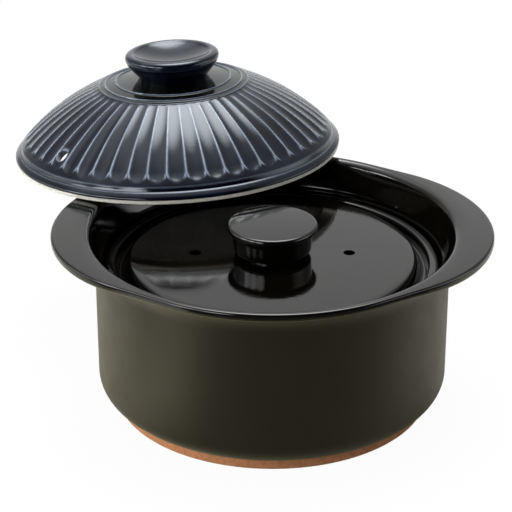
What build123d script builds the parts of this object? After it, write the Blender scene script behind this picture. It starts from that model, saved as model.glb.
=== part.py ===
from build123d import *
import math
import os

# Rice pot with an inner and an outer lid. All lengths are in millimetres. The origin is the centre of the
# face that the pot stands on, and +Z is up. The ears lie along X.

# Driving dimensions of the pot
pot_height = 102.9  # standing face to the flat top of the rim
body_radius = 98.7  # outside of the wall just above the rounded lower corner
shoulder_swell = 0.3  # how much wider the wall is below the rim
shoulder_drop = 11.9  # rim's top down to the shoulder
wall = 9.2
floor_thickness = 11.5
corner_radius = 12.0  # outer lower corner
inner_corner_radius = 16.0
foot_inset = 9.9
foot_height = 6.4
foot_edge = 0.8

# Rim and ears
rim_overhang = 8.3
rim_thickness = 4.9
rim_edge_radius = 1.5  # rounding of the rim's top edge
rim_edge_flat = 1.05  # upright flat left between the rim's two rounded edges
ear_end_radius = 88.0  # plan radius of an ear's outer end
ear_length = 16.2  # rim to the tip of an ear
ear_fold_width = 3.5  # rim to the line where the ear's top starts to fall away
ear_fall = 0.9  # drop of the ear's top from the fold to the tip
rim_width = 5.0  # rim's edge to where the throat's slope would meet the flat of the rim
mouth_edge_radius = 4.5
throat_run = 7.2  # sloping seat of the outer lid, measured across
throat_depth = 16.6  # rim's top down to the foot of the slope
flare_width = 4.2  # how far the wall flares out under the rim

# Ledge that carries the inner lid
ledge_depth = 25.9  # rim's top down to the ledge
ledge_draft = 0.9  # how far the wall above the ledge opens before the slope

# Inner lid
seat_gap = 0.3  # a lid lies this far clear of what carries it
lid_play = 0.7  # radial play of the inner lid in the pot
inner_lid_rise = 10.1  # seat to the top of the plate's middle
plate_fall = 0.8  # middle of the plate down to its shoulder
plate_shoulder_width = 3.6  # plate's shoulder out to its edge
plate_edge_rise = 1.9  # seat to the plate's edge
gutter_depth = 1.3
gutter_width = 4.3
lip_width = 7.9  # lid's edge to the bottom of the gutter
lip_crest_inset = 2.5
lip_crest_rise = 6.3  # seat to the crest of the lid's upturned lip
lip_roll = 2.0  # crest down to the lip's outer shoulder
inner_lid_thickness = 6.0
ledge_bearing = 4.0  # width of the ring that lies on the ledge
steam_hole_radius = 2.2
steam_hole_spacing = 43.0  # pot axis to each hole

# Inner lid's knob
cap_radius = 25.3
cap_height = 18.9  # seat to the top of the knob
cap_edge_height = 4.6
cap_edge_flat = 0.2  # upright flat left between the cap's two rounded edges
cap_crown = 0.6  # rise of the cap's top towards its middle
cap_overhang = 2.7
drum_draft = 0.8
drum_edge_radius = 2.4
undercut_height = 2.1
neck_inset = 5.3

# Outer lid, in its own frame: height 0 is the face of its lip
seat_inset = 5.0  # mouth's edge to the edge of the lid that lies in it
lip_breadth = 7.4
lip_height = 1.7
lip_edge_radius = 0.6
bead_overhang = 0.8  # how far the bead stands out over the bare lip
bead_bulge = 0.4
bead_draft = 2.6
bead_height = 4.3
step_width = 1.0
step_rise = 0.5
dome_foot_width = 0.7
dome_foot_rise = 2.3
dome_rise = 33.5  # dome's foot to the crown's edge
dome_swell = 3.3  # how far the dome's meridian stands out of its chord
crown_radius = 44.4  # radius of the crown's edge, where the dome starts to fall faster
crown_rise = 5.2  # crown's edge to its middle
outer_lid_thickness = 6.4
skirt_lean = 3.5  # how far the inside of the lip leans in before the hollow starts
ring_radii = (34.3, 40.9)
ring_bead_radius = 0.75
ring_bead_share = 0.55  # share of a ring's bead that stands out of the crown

# Flutes of the outer lid
flute_count = 49
flute_phase = 268.5 + 360.0 / flute_count / 2
flute_cutter_radius = 20.0
flute_top_inset = 3.2  # crown's edge to where the flutes are first cut
flute_foot_inset = 6.0
flute_top_depth = 0.23
flute_foot_depth = 0.77

# Outer lid's steam hole
vent_radius = 3.5
vent_inset = 9.2  # dome's foot to the middle of the hole
vent_angle = 220.0

# Outer lid's knob
knob_base_radius = 20.2
knob_height = 15.0
knob_flare = 7.8  # base to the widest line of the knob's lip
knob_lip_drop = 1.8
knob_lip_round = 3.8
knob_side_flare = 3.2
knob_side_height = 5.0
dish_inset = 2.4
dish_depth = 4.6

# Place of the outer lid as it is shown: taken off, tilted, resting on the back of the rim
lid_place_left = 56.3
lid_place_back = 11.6  # behind the back of the rim
lid_place_drop = 2.93  # below the rim's top
lid_lean_right = -2.8  # degrees that the lid's axis leans towards +X
lid_lean_back = 4.12  # degrees that it leans towards +Y

# Overrun of all cuts
overrun = 3.0

os.makedirs("parts", exist_ok=True)


def point_on_circle(centre, radius, distance):
    """Height of a circle's upper side at a distance from the axis."""
    return centre[1] + math.sqrt(radius ** 2 - (distance - centre[0]) ** 2)


def sphere_height(edge_radius, edge_height, crown_height, distance):
    """Height of a round cap with its pole on the axis, at a distance from the axis."""
    rise = crown_height - edge_height
    radius = (edge_radius ** 2 + rise ** 2) / (2 * rise)
    return crown_height - radius + math.sqrt(radius ** 2 - distance ** 2)


def meridian(plane):
    """Plane through an axis of turning: local x is the radius, local y the height."""
    return Plane(origin=plane.origin, x_dir=plane.x_dir, z_dir=-plane.y_dir)


# Pot
rim_underside = pot_height - rim_thickness
rim_foot_radius = rim_thickness - rim_edge_radius - rim_edge_flat
rim_radius = body_radius + rim_overhang
ear_reach = rim_radius + ear_length
ear_fold_radius = rim_radius + ear_fold_width
mouth_radius = rim_radius - rim_width
throat_foot_radius = mouth_radius - throat_run
throat_foot_height = pot_height - throat_depth
ledge_radius = throat_foot_radius - ledge_draft
ledge_height = pot_height - ledge_depth
shoulder_radius = body_radius + shoulder_swell
shoulder_height = pot_height - shoulder_drop
flare_radius = shoulder_radius + flare_width
foot_radius = body_radius - foot_inset
corner_centre_radius = body_radius - corner_radius
corner_centre_height = foot_height + math.sqrt(corner_radius ** 2 - (foot_radius - corner_centre_radius) ** 2)
corner_mid_angle = (math.degrees(math.asin((corner_centre_height - foot_height) / corner_radius))) / 2
corner_mid = (
    corner_centre_radius + corner_radius * math.cos(math.radians(corner_mid_angle)),
    corner_centre_height - corner_radius * math.sin(math.radians(corner_mid_angle)),
)
inner_radius = body_radius - wall
ear_offset = ear_reach - ear_end_radius
rim_reach = ear_reach + overrun
ear_slope = ear_fall / (ear_reach - ear_fold_radius)

with BuildPart() as pot:
    with BuildSketch(Plane.XY.offset(rim_underside)):
        Circle(rim_radius)
        with Locations((ear_offset, 0), (-ear_offset, 0)):
            Circle(ear_end_radius)
        make_hull()
    extrude(amount=rim_thickness)
    fillet(pot.faces().sort_by(Axis.Z)[-1].outer_wire().edges(), rim_edge_radius)
    fillet(pot.faces().sort_by(Axis.Z)[0].outer_wire().edges(), rim_foot_radius)
    # The tops of the ears fall away a little beyond the fold
    with BuildSketch(Plane.XZ):
        with BuildLine():
            Polyline(
                (mouth_radius, pot_height + ear_slope * (ear_fold_radius - mouth_radius)),
                (rim_reach, pot_height - ear_slope * (rim_reach - ear_fold_radius)),
                (rim_reach, pot_height + overrun),
                (mouth_radius, pot_height + overrun),
                close=True,
            )
        make_face()
    revolve(axis=Axis.Z, mode=Mode.SUBTRACT)
    # Body, foot and the flare that carries the rim
    with BuildSketch(Plane.XZ):
        with BuildLine():
            Polyline(
                (0, rim_underside + rim_foot_radius),
                (0, 0),
                (foot_radius - foot_edge, 0),
                (foot_radius, foot_edge),
                (foot_radius, foot_height),
            )
            ThreePointArc((foot_radius, foot_height), corner_mid, (body_radius, corner_centre_height))
            Polyline(
                (body_radius, corner_centre_height),
                (shoulder_radius, shoulder_height),
                (flare_radius, rim_underside),
                (flare_radius, rim_underside + rim_foot_radius),
                (0, rim_underside + rim_foot_radius),
            )
        make_face()
    revolve(axis=Axis.Z)
    # Inside: floor, wall, ledge of the inner lid, sloping seat of the outer lid and rounded mouth
    with BuildSketch(Plane.XZ) as inside:
        with BuildLine():
            Polyline(
                (0, floor_thickness),
                (inner_radius, floor_thickness),
                (inner_radius, ledge_height),
                (ledge_radius, ledge_height),
                (throat_foot_radius, throat_foot_height),
                (mouth_radius, pot_height),
                (mouth_radius + mouth_edge_radius, pot_height),
                (mouth_radius + mouth_edge_radius, pot_height + overrun),
                (0, pot_height + overrun),
                close=True,
            )
        make_face()
        fillet(inside.vertices().filter_by_position(Axis.X, inner_radius, inner_radius)
               .group_by(Axis.Y)[0], inner_corner_radius)
        fillet(inside.vertices().filter_by_position(Axis.X, mouth_radius, mouth_radius), mouth_edge_radius)
    revolve(axis=Axis.Z, mode=Mode.SUBTRACT)
pot.part.label = "pot"

# Inner lid
inner_lid_radius = ledge_radius - lid_play
seat_height = ledge_height + seat_gap
bearing_radius = inner_lid_radius - ledge_bearing
gutter_radius = inner_lid_radius - lip_width
lip_crest_radius = inner_lid_radius - lip_crest_inset
lip_crest_height = seat_height + lip_crest_rise
lip_shoulder_height = lip_crest_height - lip_roll
plate_edge_radius = gutter_radius - gutter_width
plate_edge_height = seat_height + plate_edge_rise
gutter_height = plate_edge_height - gutter_depth
plate_rise = seat_height + inner_lid_rise
plate_shoulder_radius = plate_edge_radius - plate_shoulder_width
plate_shoulder_height = plate_rise - plate_fall
waist_radius = cap_radius - cap_overhang
drum_base_radius = waist_radius - drum_draft
neck_radius = drum_base_radius - neck_inset
pad_radius = neck_radius
pad_height = sphere_height(plate_shoulder_radius, plate_shoulder_height, plate_rise, pad_radius)
plate_mid_radius = (pad_radius + plate_shoulder_radius) / 2
plate_slope = 2 * plate_fall / plate_shoulder_radius
underside_edge_radius = gutter_radius - inner_lid_thickness / 2
underside_shoulder_radius = plate_shoulder_radius - inner_lid_thickness / 2
underside_shoulder_height = plate_shoulder_height - inner_lid_thickness
underside_crown = plate_rise - inner_lid_thickness

with BuildPart() as inner_lid:
    with BuildSketch(Plane.XZ):
        with BuildLine():
            Line((0, pad_height), (pad_radius, pad_height))
            ThreePointArc(
                (pad_radius, pad_height),
                (
                    plate_mid_radius,
                    sphere_height(plate_shoulder_radius, plate_shoulder_height, plate_rise, plate_mid_radius),
                ),
                (plate_shoulder_radius, plate_shoulder_height),
            )
            Spline(
                (plate_shoulder_radius, plate_shoulder_height),
                (plate_edge_radius, plate_edge_height),
                (gutter_radius, gutter_height),
                (lip_crest_radius, lip_crest_height),
                (inner_lid_radius, lip_shoulder_height),
                tangents=[(1, -plate_slope), (0, -1)],
                tangent_scalars=[0.3, 0.6],
            )
            Polyline(
                (inner_lid_radius, lip_shoulder_height),
                (inner_lid_radius, seat_height),
                (bearing_radius, seat_height),
                (gutter_radius, gutter_height - inner_lid_thickness),
                (underside_edge_radius, plate_edge_height - inner_lid_thickness),
                (underside_shoulder_radius, underside_shoulder_height),
            )
            ThreePointArc(
                (underside_shoulder_radius, underside_shoulder_height),
                (
                    plate_mid_radius,
                    sphere_height(underside_shoulder_radius, underside_shoulder_height, underside_crown,
                                  plate_mid_radius),
                ),
                (0, underside_crown),
            )
            Line((0, underside_crown), (0, pad_height))
        make_face()
    revolve(axis=Axis.Z)
    with BuildSketch(Plane.XY):
        with Locations((steam_hole_spacing, 0), (-steam_hole_spacing, 0)):
            Circle(steam_hole_radius)
    extrude(amount=pot_height, mode=Mode.SUBTRACT)
inner_lid.part.label = "inner_lid"

# Knob of the inner lid
knob_plane = Plane.XY.offset(pad_height)
cap_edge_radius = (cap_edge_height - cap_crown - cap_edge_flat) / 2
with BuildPart() as inner_lid_knob:
    with BuildSketch(meridian(knob_plane)) as knob_section:
        with BuildLine():
            Polyline(
                (0, 0),
                (neck_radius, 0),
                (neck_radius, undercut_height),
                (drum_base_radius, undercut_height),
                (waist_radius, cap_height - cap_edge_height),
                (cap_radius, cap_height - cap_edge_height),
                (cap_radius, cap_height - cap_crown),
            )
            ThreePointArc(
                (cap_radius, cap_height - cap_crown),
                (cap_radius / 2, sphere_height(cap_radius, cap_height - cap_crown, cap_height, cap_radius / 2)),
                (0, cap_height),
            )
            Line((0, cap_height), (0, 0))
        make_face()
        corners = knob_section.vertices()
        fillet(corners.group_by(Axis.X)[-1], cap_edge_radius)
        fillet(corners.filter_by_position(Axis.X, drum_base_radius, drum_base_radius), drum_edge_radius)
    revolve(axis=Axis.Z)
inner_lid_knob.part.label = "inner_lid_knob"

# Outer lid's frame, from the two leans of its axis
lid_place = (-lid_place_left, rim_radius + lid_place_back, pot_height - lid_place_drop)
axis_x = math.sin(math.radians(lid_lean_right))
axis_y = math.sin(math.radians(lid_lean_back))
axis_z = math.sqrt(1 - axis_x ** 2 - axis_y ** 2)
lid_plane = Plane(origin=lid_place, x_dir=(axis_z, 0, -axis_x), z_dir=(axis_x, axis_y, axis_z))
lid_axis = Axis(lid_place, lid_plane.z_dir)

# The outer lid's meridian, from its lip in and up
lip_radius = mouth_radius - seat_inset
lip_inner_radius = lip_radius - lip_breadth
skirt_top_radius = lip_inner_radius - skirt_lean
bead_radius = lip_radius + bead_overhang
bead_top_radius = bead_radius - bead_draft
bead_top_height = lip_height + bead_height
step_radius = bead_top_radius - step_width
step_height = bead_top_height + step_rise
dome_foot_radius = step_radius - dome_foot_width
dome_foot_height = step_height + dome_foot_rise
dome_mid_radius = (dome_foot_radius + crown_radius) / 2
crown_edge_height = dome_foot_height + dome_rise
crown_top_height = crown_edge_height + crown_rise
crown_mid_radius = (crown_radius + knob_base_radius) / 2

# The dome is one arc from its foot to the edge of the flatter crown
dome_arc = SagittaArc((dome_foot_radius, dome_foot_height), (crown_radius, crown_edge_height), -dome_swell)
dome_centre = (dome_arc.arc_center.X, dome_arc.arc_center.Y)
dome_radius = dome_arc.radius
hollow_radius = dome_radius - outer_lid_thickness


def dome_point(distance, stand_off):
    """Point at a distance from the axis on the dome's meridian, moved out along its normal."""
    height = point_on_circle(dome_centre, dome_radius, distance)
    normal = ((distance - dome_centre[0]) / dome_radius, (height - dome_centre[1]) / dome_radius)
    return (distance + stand_off * normal[0], height + stand_off * normal[1])


def crown_height(distance):
    """Height of the crown at a distance from the axis."""
    return sphere_height(crown_radius, crown_edge_height, crown_top_height, distance)


# A flute is cut by a round bar that follows the dome, deeper and so wider towards the foot
flute_top_radius = crown_radius + flute_top_inset
flute_foot_radius = dome_foot_radius - flute_foot_inset
flute_mid_radius = (flute_top_radius + flute_foot_radius) / 2
flute_mid_depth = (flute_top_depth + flute_foot_depth) / 2
bar_top = dome_point(flute_top_radius, flute_cutter_radius - flute_top_depth)
bar_mid = dome_point(flute_mid_radius, flute_cutter_radius - flute_mid_depth)
bar_foot = dome_point(flute_foot_radius, flute_cutter_radius - flute_foot_depth)

with BuildPart() as flute_cutter:
    with BuildLine(Plane.XZ) as bar_line:
        ThreePointArc(bar_top, bar_mid, bar_foot)
    with BuildSketch(bar_line.line ^ 0):
        Circle(flute_cutter_radius)
    sweep(path=bar_line.line)
    with Locations(bar_line.line @ 0, bar_line.line @ 1):
        Sphere(flute_cutter_radius)

hollow_foot_height = point_on_circle(dome_centre, hollow_radius, skirt_top_radius)
hollow_edge_height = point_on_circle(dome_centre, hollow_radius, crown_radius)
hollow_top_height = crown_top_height - outer_lid_thickness
crown_pad_height = crown_height(knob_base_radius)

with BuildPart(lid_plane) as outer_lid:
    with BuildSketch(meridian(lid_plane)):
        with BuildLine():
            Polyline(
                (lip_inner_radius, 0),
                (lip_radius - lip_edge_radius, 0),
                (lip_radius, lip_edge_radius),
                (lip_radius, lip_height),
                (bead_radius, lip_height),
            )
            ThreePointArc(
                (bead_radius, lip_height),
                ((bead_radius + bead_top_radius) / 2 + bead_bulge * 2, (lip_height + bead_top_height) / 2),
                (bead_top_radius, bead_top_height),
            )
            Polyline(
                (bead_top_radius, bead_top_height),
                (step_radius, step_height),
                (dome_foot_radius, dome_foot_height),
            )
            ThreePointArc(
                (dome_foot_radius, dome_foot_height),
                dome_point(dome_mid_radius, 0),
                (crown_radius, crown_edge_height),
            )
            ThreePointArc(
                (crown_radius, crown_edge_height),
                (crown_mid_radius, crown_height(crown_mid_radius)),
                (knob_base_radius, crown_pad_height),
            )
            Polyline((knob_base_radius, crown_pad_height), (0, crown_pad_height), (0, hollow_top_height))
            ThreePointArc(
                (0, hollow_top_height),
                (
                    crown_mid_radius,
                    sphere_height(crown_radius, hollow_edge_height, hollow_top_height, crown_mid_radius),
                ),
                (crown_radius, hollow_edge_height),
            )
            ThreePointArc(
                (crown_radius, hollow_edge_height),
                (dome_mid_radius, point_on_circle(dome_centre, hollow_radius, dome_mid_radius)),
                (skirt_top_radius, hollow_foot_height),
            )
            Line((skirt_top_radius, hollow_foot_height), (lip_inner_radius, 0))
        make_face()
    revolve(axis=lid_axis)
    # Two fine raised rings on the crown
    with BuildSketch(meridian(lid_plane)):
        for ring_radius in ring_radii:
            ring_height = crown_height(ring_radius) + ring_bead_radius * (2 * ring_bead_share - 1)
            with Locations((ring_radius, ring_height)):
                Circle(ring_bead_radius)
    revolve(axis=lid_axis)
    with PolarLocations(0, flute_count, start_angle=flute_phase):
        add(flute_cutter.part, mode=Mode.SUBTRACT)
    # Steam hole, square to the dome
    vent_distance = dome_foot_radius - vent_inset
    vent_mouth = dome_point(vent_distance, overrun)
    vent_root = dome_point(vent_distance, -outer_lid_thickness - overrun)
    vent_turn = math.radians(vent_angle)
    vent_start = Vector(vent_mouth[0] * math.cos(vent_turn), vent_mouth[0] * math.sin(vent_turn), vent_mouth[1])
    vent_end = Vector(vent_root[0] * math.cos(vent_turn), vent_root[0] * math.sin(vent_turn), vent_root[1])
    vent_plane = Plane(
        origin=lid_plane.from_local_coords(vent_start),
        z_dir=lid_plane.from_local_coords(vent_end) - lid_plane.from_local_coords(vent_start),
    )
    with BuildSketch(vent_plane):
        Circle(vent_radius)
    extrude(amount=(vent_end - vent_start).length, mode=Mode.SUBTRACT)
outer_lid.part.label = "outer_lid"

# Knob of the outer lid, which stands on the crown's flat
crown_plane = lid_plane.offset(crown_pad_height)
knob_lip_radius = knob_base_radius + knob_flare
knob_lip_height = knob_height - knob_lip_drop
knob_crest_radius = knob_lip_radius - knob_lip_round
knob_side_radius = knob_base_radius + knob_side_flare
dish_radius = knob_crest_radius - dish_inset
with BuildPart() as outer_lid_knob:
    with BuildSketch(meridian(crown_plane)):
        with BuildLine():
            Line((0, 0), (knob_base_radius, 0))
            Spline(
                (knob_base_radius, 0),
                (knob_side_radius, knob_side_height),
                (knob_lip_radius, knob_lip_height),
                (knob_crest_radius, knob_height),
                (dish_radius, knob_height - dish_depth / 4),
                tangents=[(1, 2), (-2, -1)],
            )
            ThreePointArc(
                (dish_radius, knob_height - dish_depth / 4),
                (dish_radius / 2, sphere_height(dish_radius, dish_depth / 4, dish_depth, dish_radius / 2) * -1
                 + knob_height),
                (0, knob_height - dish_depth),
            )
            Line((0, knob_height - dish_depth), (0, 0))
        make_face()
    revolve(axis=lid_axis)
outer_lid_knob.part.label = "outer_lid_knob"

for piece in (pot, inner_lid, inner_lid_knob, outer_lid, outer_lid_knob):
    export_step(piece.part, f"parts/{piece.part.label}.step")
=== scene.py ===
"""Rice pot with two lids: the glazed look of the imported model, in metres, in the model's own frame."""

import logging
import math
from dataclasses import dataclass, field
from enum import Enum

import bmesh
import bpy
from mathutils import Matrix, Vector
from mathutils.geometry import interpolate_bezier


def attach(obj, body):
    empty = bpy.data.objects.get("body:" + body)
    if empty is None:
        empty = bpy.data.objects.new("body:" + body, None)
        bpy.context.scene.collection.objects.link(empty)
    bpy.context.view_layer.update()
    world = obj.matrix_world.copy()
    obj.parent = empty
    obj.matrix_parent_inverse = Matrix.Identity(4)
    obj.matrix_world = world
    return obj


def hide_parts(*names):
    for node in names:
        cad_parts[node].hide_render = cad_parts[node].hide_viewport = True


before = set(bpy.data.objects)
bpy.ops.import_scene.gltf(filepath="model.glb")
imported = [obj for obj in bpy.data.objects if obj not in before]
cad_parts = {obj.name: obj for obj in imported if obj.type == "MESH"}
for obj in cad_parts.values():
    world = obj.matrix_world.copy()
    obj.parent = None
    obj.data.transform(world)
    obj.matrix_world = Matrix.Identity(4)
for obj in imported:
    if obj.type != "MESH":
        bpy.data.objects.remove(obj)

log = logging.getLogger("rice_pot")

MM = 0.001
FULL_TURN = 2 * math.pi
SHARP_ANGLE = math.radians(40)
MERGE_DISTANCE = 2e-6
BORE_FACETS = 40
GLAZE_IOR = 1.52
Point = tuple[float, float]
Colour = tuple[float, float, float]


class Region(Enum):
    """Which finish a face of the pot takes."""

    GLOSS = 0
    SATIN = 1
    CLAY = 2


def smooth_step(low: float, high: float, value: float) -> float:
    """Goes from 0 at low to 1 at high with soft ends."""
    share = min(1.0, max(0.0, (value - low) / (high - low)))
    return share * share * (3 - 2 * share)


class Lathe:
    """Draws a line in the plane of radius and height, in millimetres, and turns it about the axis."""

    def __init__(self, radius: float, height: float) -> None:
        """Starts the line.

        Args:
            radius: Distance of the first point from the axis.
            height: Height of the first point.
        """
        self.mesh = bmesh.new()
        self.tip = self.mesh.verts.new((radius * MM, 0, height * MM))

    @property
    def place(self) -> Vector:
        """The line's present end as (radius, height) in millimetres."""
        return Vector((self.tip.co.x, self.tip.co.z)) / MM

    def line(self, radius: float, height: float, steps: int = 1) -> None:
        """Draws a straight run.

        Args:
            radius: Radius of the run's end.
            height: Height of the run's end.
            steps: Edges along the run.
        """
        run = (Vector((radius, height)) - self.place) * MM / steps
        for _ in range(steps):
            drawn = bmesh.ops.extrude_vert_indiv(self.mesh, verts=[self.tip])
            self.tip = drawn["verts"][0]
            self.tip.co += Vector((run.x, 0, run.y))

    def arc(self, centre: Point, angle: float, steps: int) -> None:
        """Draws an arc from the line's end.

        Args:
            centre: Radius and height of the arc's centre.
            angle: Angle of the arc in radians, from the radius towards the height.
            steps: Edges along the arc.
        """
        drawn = bmesh.ops.spin(
            self.mesh, geom=[self.tip], cent=(centre[0] * MM, 0, centre[1] * MM), axis=(0, -1, 0),
            dvec=(0, 0, 0), angle=angle, steps=steps, use_merge=False, use_duplicate=False,
        )
        self.tip = [part for part in drawn["geom_last"] if isinstance(part, bmesh.types.BMVert)][0]

    def arc_to(self, centre: Point, end: Point, steps: int) -> None:
        """Draws the shorter arc about a centre to a point.

        Args:
            centre: Radius and height of the arc's centre.
            end: Radius and height of the arc's end, as far from the centre as its start.
            steps: Edges along the arc.
        """
        start = self.place - Vector(centre)
        finish = Vector(end) - Vector(centre)
        angle = math.atan2(start.x * finish.y - start.y * finish.x, start.dot(finish))
        self.arc(centre, angle, steps)

    def corner(self, corner: Point, following: Point, radius: float, steps: int = 6, run: int = 1) -> None:
        """Draws a straight run towards a corner and rounds the corner.

        Args:
            corner: The corner that is rounded.
            following: A point that the line goes towards after the corner.
            radius: Radius of the rounding.
            steps: Edges along the rounding.
            run: Edges along the straight run.
        """
        turn = Vector(corner)
        back = (self.place - turn).normalized()
        onward = (Vector(following) - turn).normalized()
        half = back.angle(onward) / 2
        tangent = turn + back * (radius / math.tan(half))
        centre = turn + (back + onward).normalized() * (radius / math.sin(half))
        self.line(tangent.x, tangent.y, run)
        finish = turn + onward * (radius / math.tan(half))
        self.arc_to((centre.x, centre.y), (finish.x, finish.y), steps)

    def curve(self, handle: Point, far_handle: Point, end: Point, steps: int) -> None:
        """Draws a free curve.

        Args:
            handle: Point that the curve leaves towards.
            far_handle: Point that the curve arrives from.
            end: End of the curve.
            steps: Edges along the curve.
        """
        start = self.place
        knots = [Vector((p[0], p[1], 0)) for p in (start, handle, far_handle, end)]
        for spot in interpolate_bezier(*knots, steps + 1)[1:]:
            self.line(spot.x, spot.y)

    def turn(self, steps: int) -> bmesh.types.BMesh:
        """Turns the line about the axis into a closed skin.

        Args:
            steps: Facets round the axis.

        Returns:
            The turned mesh, closed at the axis and with its faces outwards.
        """
        bmesh.ops.spin(
            self.mesh, geom=self.mesh.verts[:] + self.mesh.edges[:], cent=(0, 0, 0), axis=(0, 0, 1),
            dvec=(0, 0, 0), angle=FULL_TURN, steps=steps, use_merge=True, use_duplicate=False,
        )
        bmesh.ops.remove_doubles(self.mesh, verts=self.mesh.verts[:], dist=MERGE_DISTANCE)
        bmesh.ops.recalc_face_normals(self.mesh, faces=self.mesh.faces[:])
        return self.mesh


def make_piece(name: str, mesh: bmesh.types.BMesh, finishes: list[bpy.types.Material]) -> bpy.types.Object:
    """Makes an object at the origin from a mesh and gives it its finishes.

    Args:
        name: Name of the piece.
        mesh: Its mesh in metres, which is freed.
        finishes: Materials in the order of the faces' material numbers.

    Returns:
        The new object, linked to the scene.
    """
    for face in mesh.faces:
        face.smooth = True
    data = bpy.data.meshes.new(name)
    mesh.to_mesh(data)
    mesh.free()
    data.set_sharp_from_angle(angle=SHARP_ANGLE)
    for finish in finishes:
        data.materials.append(finish)
    piece = bpy.data.objects.new(name, data)
    bpy.context.scene.collection.objects.link(piece)
    return piece


def bore(
    piece: bpy.types.Object, places: list[Matrix], radius: float, depth: float, taper: float = 0.0
) -> None:
    """Cuts round holes through a piece.

    Args:
        piece: The piece that is bored.
        places: Middle and direction (local Z) of each hole, in metres.
        radius: Radius of the holes in millimetres.
        depth: Length of the cutter in millimetres.
        taper: How much wider than its middle the cutter is at its inner end, in millimetres.
    """
    for place in places:
        cutter_mesh = bmesh.new()
        bmesh.ops.create_cone(
            cutter_mesh, cap_ends=True, segments=BORE_FACETS, radius1=(radius + taper) * MM,
            radius2=(radius - taper) * MM, depth=depth * MM, matrix=place,
        )
        cutter = make_piece("cutter", cutter_mesh, [])
        cut = piece.modifiers.new("bore", "BOOLEAN")
        cut.operation = "DIFFERENCE"
        cut.solver = "EXACT"
        cut.object = cutter
        graph = bpy.context.evaluated_depsgraph_get()
        bored = bpy.data.meshes.new_from_object(piece.evaluated_get(graph))
        piece.modifiers.clear()
        old = piece.data
        piece.data = bored
        bored.name = piece.name
        bpy.data.meshes.remove(old)
        bpy.data.objects.remove(cutter)
    piece.data.set_sharp_from_angle(angle=SHARP_ANGLE)


class Nodes:
    """A node tree, with short calls for the nodes that the finishes and the room share."""

    def __init__(self, tree: bpy.types.NodeTree) -> None:
        """Takes the tree that the nodes go into."""
        self.tree = tree

    def add(self, kind: str, **settings: object) -> bpy.types.Node:
        """Adds a node and sets its named properties.

        Args:
            kind: Type of the node.
            settings: Properties by name.

        Returns:
            The new node.
        """
        node = self.tree.nodes.new(kind)
        for key, value in settings.items():
            setattr(node, key, value)
        return node

    def join(self, source: bpy.types.NodeSocket, target: bpy.types.NodeSocket) -> None:
        """Links two sockets."""
        self.tree.links.new(source, target)

    def feed(self, target: bpy.types.NodeSocket, value: object) -> None:
        """Links a socket or sets a plain value on it.

        Args:
            target: The input that is fed.
            value: A socket or a plain value.
        """
        if isinstance(value, bpy.types.NodeSocket):
            self.join(value, target)
        else:
            target.default_value = value

    def math(
        self, operation: str, first: object, second: object = 0.0, clamp: bool = False
    ) -> bpy.types.NodeSocket:
        """Adds a sum of two values.

        Args:
            operation: Name of the sum, such as MULTIPLY.
            first: A socket or number.
            second: A socket or number.
            clamp: Whether the result stays between 0 and 1.

        Returns:
            The result's socket.
        """
        node = self.add("ShaderNodeMath", operation=operation, use_clamp=clamp)
        self.feed(node.inputs[0], first)
        self.feed(node.inputs[1], second)
        return node.outputs[0]

    def span(
        self, value: object, low: float, high: float, start: float = 0.0, end: float = 1.0
    ) -> bpy.types.NodeSocket:
        """Maps a value smoothly from one span to another.

        Args:
            value: The socket that is read.
            low: Value that gives start.
            high: Value that gives end.
            start: Result at low.
            end: Result at high.

        Returns:
            The result's socket.
        """
        node = self.add("ShaderNodeMapRange", interpolation_type="SMOOTHSTEP")
        self.feed(node.inputs["Value"], value)
        node.inputs["From Min"].default_value = low
        node.inputs["From Max"].default_value = high
        node.inputs["To Min"].default_value = start
        node.inputs["To Max"].default_value = end
        return node.outputs["Result"]

    def split(self, vector: bpy.types.NodeSocket) -> tuple[bpy.types.NodeSocket, ...]:
        """Splits a vector.

        Args:
            vector: Socket of the vector.

        Returns:
            The sockets of X, Y and Z.
        """
        node = self.add("ShaderNodeSeparateXYZ")
        self.join(vector, node.inputs[0])
        return tuple(node.outputs)


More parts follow.
